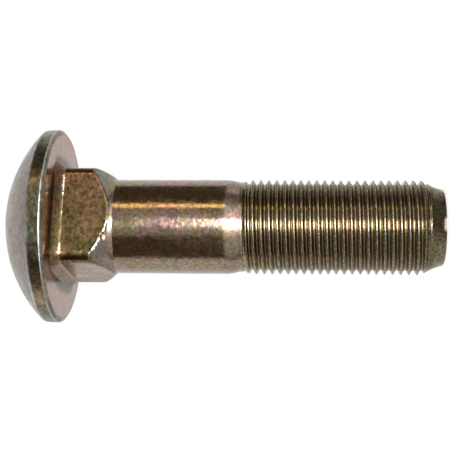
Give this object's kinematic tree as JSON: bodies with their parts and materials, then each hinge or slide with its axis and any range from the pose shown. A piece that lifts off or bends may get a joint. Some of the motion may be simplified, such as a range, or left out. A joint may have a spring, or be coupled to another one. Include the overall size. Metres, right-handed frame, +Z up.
{
  "type": "square-neck wheel bolt",
  "caption": "One-piece wheel bolt with a low domed head, a short square neck, a plain shank and a fine right-hand thread to a tapered flat point.",
  "frame": {"origin": "centre of the bolt's flat threaded end, on the axis; the bolt stands on that end", "axes": "+Z up the axis from the flat end to the crown of the head; the flats of the square neck face X and Y"},
  "size_m": [0.039, 0.039, 0.0873],
  "materials": {
    "passivated_steel": "zinc plated and yellow passivated, with grey, gold, pink and olive tints, dull on the forged head and brighter on the rolled thread"
  },
  "bodies": {
    "root": {"wheel_bolt": "passivated_steel"}
  },
  "joints": []
}
